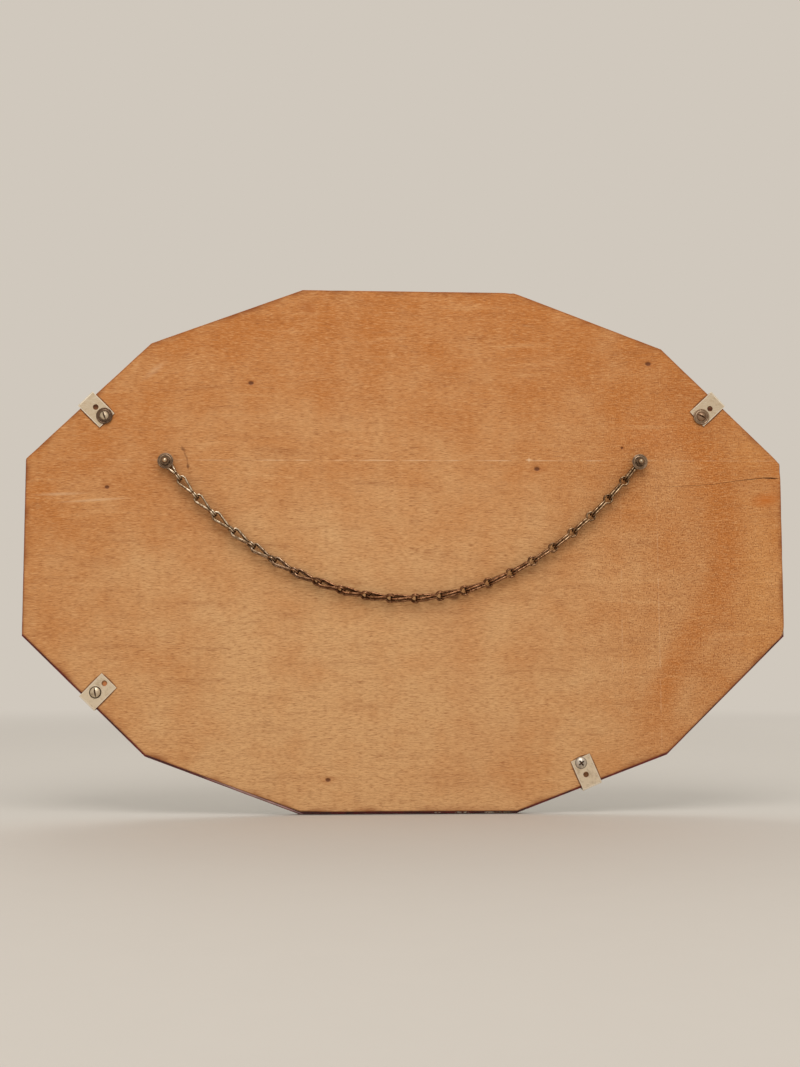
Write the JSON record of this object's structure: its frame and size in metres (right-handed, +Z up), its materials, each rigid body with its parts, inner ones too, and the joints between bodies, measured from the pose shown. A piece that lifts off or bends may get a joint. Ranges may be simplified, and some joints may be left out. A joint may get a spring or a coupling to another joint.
{
  "type": "bevelled wall mirror",
  "caption": "Frameless twelve-sided bevelled wall mirror on a plywood back, held by metal edge clips and hung from a folded-wire chain bolted across the back.",
  "frame": {"origin": "centre of the plywood's back face", "axes": "+Y out of the back towards the wall, +Z up, +X to the left as seen from behind"},
  "size_m": [0.61, 0.0228, 0.42],
  "materials": {
    "glass": "polished, bevelled edge",
    "silvering": "silver film behind glass",
    "backing_paint": "dark red mirror-back paint",
    "plywood": "bare plywood, darkened with age",
    "clip_metal": "worn nickel plate",
    "screw_metal": "aged steel",
    "bright_screw": "bright plated",
    "washer_metal": "dull, darkened steel",
    "bolt_metal": "aged steel",
    "chain_wire": "worn nickel on brass, bronze tarnish"
  },
  "bodies": {
    "mirror": {"mirror_glass": "glass", "silvering": "silvering", "backing_paint": "backing_paint", "clip_upper_left": "clip_metal", "clip_upper_right": "clip_metal", "clip_lower_left": "clip_metal", "clip_lower_right": "clip_metal", "clip_washer_upper_left": "washer_metal", "clip_screw_upper_left": "screw_metal", "clip_washer_upper_right": "washer_metal", "clip_screw_upper_right": "screw_metal", "clip_screw_lower_left": "screw_metal", "clip_screw_lower_right": "bright_screw", "chain_link_01": "chain_wire", "chain_link_23": "chain_wire", "chain_washer_left": "washer_metal", "chain_nut_left": "bolt_metal", "chain_bolt_left": "bolt_metal", "chain_washer_right": "washer_metal", "chain_nut_right": "bolt_metal", "chain_bolt_right": "bolt_metal", "backing_board": "plywood"},
    "link_02": {"chain_link_02": "chain_wire"},
    "link_03": {"chain_link_03": "chain_wire"},
    "link_04": {"chain_link_04": "chain_wire"},
    "link_05": {"chain_link_05": "chain_wire"},
    "link_06": {"chain_link_06": "chain_wire"},
    "link_07": {"chain_link_07": "chain_wire"},
    "link_08": {"chain_link_08": "chain_wire"},
    "link_09": {"chain_link_09": "chain_wire"},
    "link_10": {"chain_link_10": "chain_wire"},
    "link_11": {"chain_link_11": "chain_wire"},
    "link_12": {"chain_link_12": "chain_wire"},
    "link_13": {"chain_link_13": "chain_wire"},
    "link_14": {"chain_link_14": "chain_wire"},
    "link_15": {"chain_link_15": "chain_wire"},
    "link_16": {"chain_link_16": "chain_wire"},
    "link_17": {"chain_link_17": "chain_wire"},
    "link_18": {"chain_link_18": "chain_wire"},
    "link_19": {"chain_link_19": "chain_wire"},
    "link_20": {"chain_link_20": "chain_wire"},
    "link_21": {"chain_link_21": "chain_wire"},
    "link_22": {"chain_link_22": "chain_wire"}
  },
  "joints": [
    {"name": "chain_swing", "type": "hinge", "parent": "mirror", "child": "link_02", "pos_m": [0.18265, 0.0049, 0.05446], "axis": [1, 0, 0], "range_deg": [0, 8]},
    {"name": "link_03_turn", "type": "hinge", "parent": "link_02", "child": "link_03", "pos_m": [0.16928, 0.0049, 0.03971], "axis": [1, 0, 0], "range_deg": [0, 9]},
    {"name": "link_04_turn", "type": "hinge", "parent": "link_03", "child": "link_04", "pos_m": [0.15516, 0.0049, 0.02569], "axis": [1, 0, 0], "range_deg": [0, 9]},
    {"name": "link_05_turn", "type": "hinge", "parent": "link_04", "child": "link_05", "pos_m": [0.14024, 0.0049, 0.01253], "axis": [1, 0, 0], "range_deg": [0, 6.75]},
    {"name": "link_06_turn", "type": "hinge", "parent": "link_05", "child": "link_06", "pos_m": [0.12449, 0.0049, 0.00037], "axis": [1, 0, 0], "range_deg": [0, 6.75]},
    {"name": "link_07_turn", "type": "hinge", "parent": "link_06", "child": "link_07", "pos_m": [0.10789, 0.0049, -0.01062], "axis": [1, 0, 0], "range_deg": [0, 6.75]},
    {"name": "link_08_turn", "type": "hinge", "parent": "link_07", "child": "link_08", "pos_m": [0.09046, 0.0049, -0.02023], "axis": [1, 0, 0], "range_deg": [0, 6.75]},
    {"name": "link_09_turn", "type": "hinge", "parent": "link_08", "child": "link_09", "pos_m": [0.07226, 0.0049, -0.02826], "axis": [1, 0, 0], "range_deg": [0, 3.38]},
    {"name": "link_10_turn", "type": "hinge", "parent": "link_09", "child": "link_10", "pos_m": [0.05336, 0.0049, -0.03451], "axis": [1, 0, 0], "range_deg": [0, 3.38]},
    {"name": "link_11_turn", "type": "hinge", "parent": "link_10", "child": "link_11", "pos_m": [0.03393, 0.0049, -0.0388], "axis": [1, 0, 0], "range_deg": [0, 3.38]},
    {"name": "link_12_turn", "type": "hinge", "parent": "link_11", "child": "link_12", "pos_m": [0.01415, 0.0049, -0.04098], "axis": [1, 0, 0], "range_deg": [0, 3.38]},
    {"name": "link_22_turn", "type": "hinge", "parent": "mirror", "child": "link_22", "pos_m": [-0.17424, 0.0049, 0.05446], "axis": [1, 0, 0], "range_deg": [0, 9]},
    {"name": "link_21_turn", "type": "hinge", "parent": "link_22", "child": "link_21", "pos_m": [-0.16088, 0.0049, 0.03971], "axis": [1, 0, 0], "range_deg": [0, 9]},
    {"name": "link_20_turn", "type": "hinge", "parent": "link_21", "child": "link_20", "pos_m": [-0.14675, 0.0049, 0.02569], "axis": [1, 0, 0], "range_deg": [0, 9]},
    {"name": "link_19_turn", "type": "hinge", "parent": "link_20", "child": "link_19", "pos_m": [-0.13183, 0.0049, 0.01253], "axis": [1, 0, 0], "range_deg": [0, 6.75]},
    {"name": "link_18_turn", "type": "hinge", "parent": "link_19", "child": "link_18", "pos_m": [-0.11608, 0.0049, 0.00037], "axis": [1, 0, 0], "range_deg": [0, 6.75]},
    {"name": "link_17_turn", "type": "hinge", "parent": "link_18", "child": "link_17", "pos_m": [-0.09949, 0.0049, -0.01062], "axis": [1, 0, 0], "range_deg": [0, 6.75]},
    {"name": "link_16_turn", "type": "hinge", "parent": "link_17", "child": "link_16", "pos_m": [-0.08206, 0.0049, -0.02023], "axis": [1, 0, 0], "range_deg": [0, 6.75]},
    {"name": "link_15_turn", "type": "hinge", "parent": "link_16", "child": "link_15", "pos_m": [-0.06385, 0.0049, -0.02826], "axis": [1, 0, 0], "range_deg": [0, 3.38]},
    {"name": "link_14_turn", "type": "hinge", "parent": "link_15", "child": "link_14", "pos_m": [-0.04496, 0.0049, -0.03451], "axis": [1, 0, 0], "range_deg": [0, 3.38]},
    {"name": "link_13_turn", "type": "hinge", "parent": "link_14", "child": "link_13", "pos_m": [-0.02553, 0.0049, -0.0388], "axis": [1, 0, 0], "range_deg": [0, 3.38]}
  ],
  "couplings": [
    {"joint": "link_03_turn", "follows": "chain_swing", "ratio": 1},
    {"joint": "link_04_turn", "follows": "chain_swing", "ratio": 1},
    {"joint": "link_05_turn", "follows": "chain_swing", "ratio": 0.75},
    {"joint": "link_06_turn", "follows": "chain_swing", "ratio": 0.75},
    {"joint": "link_07_turn", "follows": "chain_swing", "ratio": 0.75},
    {"joint": "link_08_turn", "follows": "chain_swing", "ratio": 0.75},
    {"joint": "link_09_turn", "follows": "chain_swing", "ratio": 0.375},
    {"joint": "link_10_turn", "follows": "chain_swing", "ratio": 0.375},
    {"joint": "link_11_turn", "follows": "chain_swing", "ratio": 0.375},
    {"joint": "link_12_turn", "follows": "chain_swing", "ratio": 0.375},
    {"joint": "link_22_turn", "follows": "chain_swing", "ratio": 1},
    {"joint": "link_21_turn", "follows": "chain_swing", "ratio": 1},
    {"joint": "link_20_turn", "follows": "chain_swing", "ratio": 1},
    {"joint": "link_19_turn", "follows": "chain_swing", "ratio": 0.75},
    {"joint": "link_18_turn", "follows": "chain_swing", "ratio": 0.75},
    {"joint": "link_17_turn", "follows": "chain_swing", "ratio": 0.75},
    {"joint": "link_16_turn", "follows": "chain_swing", "ratio": 0.75},
    {"joint": "link_15_turn", "follows": "chain_swing", "ratio": 0.375},
    {"joint": "link_14_turn", "follows": "chain_swing", "ratio": 0.375},
    {"joint": "link_13_turn", "follows": "chain_swing", "ratio": 0.375}
  ]
}
